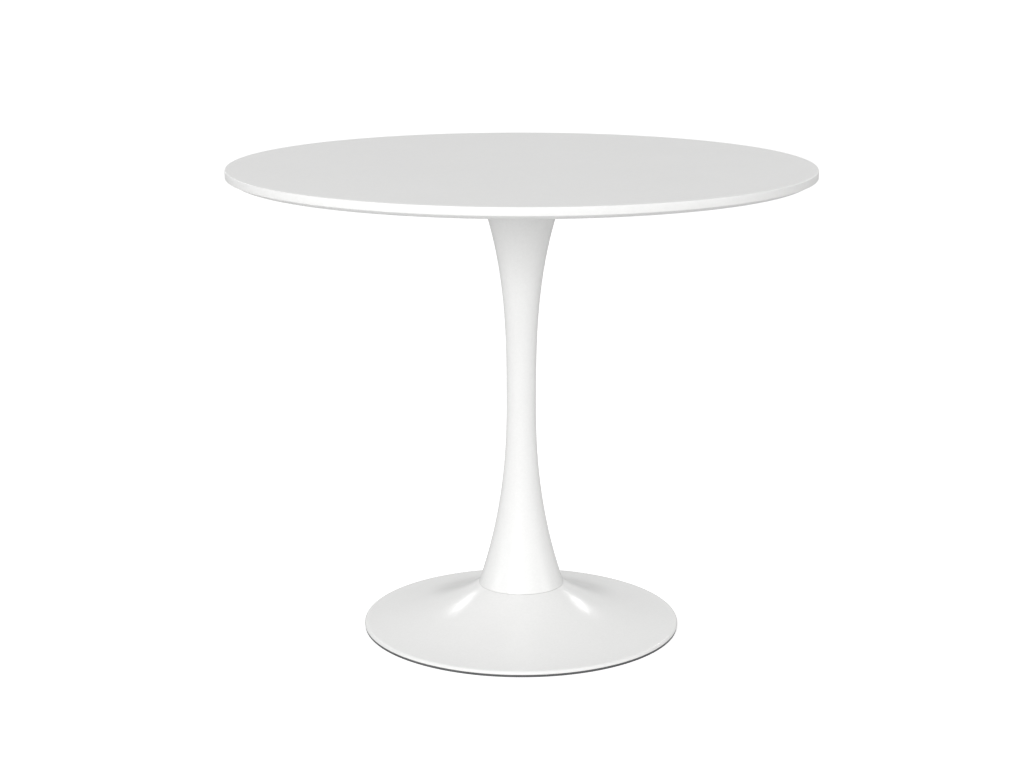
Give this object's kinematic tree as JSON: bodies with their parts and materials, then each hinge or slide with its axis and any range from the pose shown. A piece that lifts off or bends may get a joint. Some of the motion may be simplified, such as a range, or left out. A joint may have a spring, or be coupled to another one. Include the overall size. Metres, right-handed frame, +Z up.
{
  "type": "round pedestal table",
  "caption": "Round table with a thin white top on a slender trumpet-shaped column and a wide domed steel base, with a counterweight and a rubber ring below.",
  "frame": {"origin": "centre of the base at the floor, on the axis of the column", "axes": "+Z up along the column; X and Y are alike, and the bolts stand half a space round from +X"},
  "size_m": [0.9, 0.9, 0.735],
  "materials": {
    "white_lacquered_board": "satin white lacquer on MDF",
    "white_powder_coat": "smooth semi-gloss white powder coat on steel",
    "bare_steel": "plain rolled steel plate, lightly oiled",
    "zinc_plated_steel": "bright zinc plating",
    "brass": "turned brass",
    "cast_iron": "rough casting, dipped black",
    "rubber": "matt dark grey moulded rubber"
  },
  "bodies": {
    "root": {"table_top": "white_lacquered_board", "top_insert_1": "brass", "top_insert_2": "brass", "top_insert_3": "brass", "top_insert_4": "brass", "top_insert_5": "brass", "top_insert_6": "brass", "top_insert_7": "brass", "top_insert_8": "brass", "mounting_plate": "zinc_plated_steel", "top_screw_1": "zinc_plated_steel", "top_screw_2": "zinc_plated_steel", "top_screw_3": "zinc_plated_steel", "top_screw_4": "zinc_plated_steel", "top_screw_5": "zinc_plated_steel", "top_screw_6": "zinc_plated_steel", "top_screw_7": "zinc_plated_steel", "top_screw_8": "zinc_plated_steel", "head_screw_1": "zinc_plated_steel", "head_screw_2": "zinc_plated_steel", "head_screw_3": "zinc_plated_steel", "head_screw_4": "zinc_plated_steel", "column_head_plate": "bare_steel", "column": "white_powder_coat", "column_foot_plate": "bare_steel", "base_shell": "white_powder_coat", "hub_plate": "bare_steel", "counterweight": "cast_iron", "flat_washer_1": "zinc_plated_steel", "flat_washer_2": "zinc_plated_steel", "flat_washer_3": "zinc_plated_steel", "flat_washer_4": "zinc_plated_steel", "spring_washer_1": "zinc_plated_steel", "spring_washer_2": "zinc_plated_steel", "spring_washer_3": "zinc_plated_steel", "spring_washer_4": "zinc_plated_steel", "base_bolt_1": "zinc_plated_steel", "base_bolt_2": "zinc_plated_steel", "base_bolt_3": "zinc_plated_steel", "base_bolt_4": "zinc_plated_steel", "rubber_ring": "rubber"}
  },
  "joints": []
}
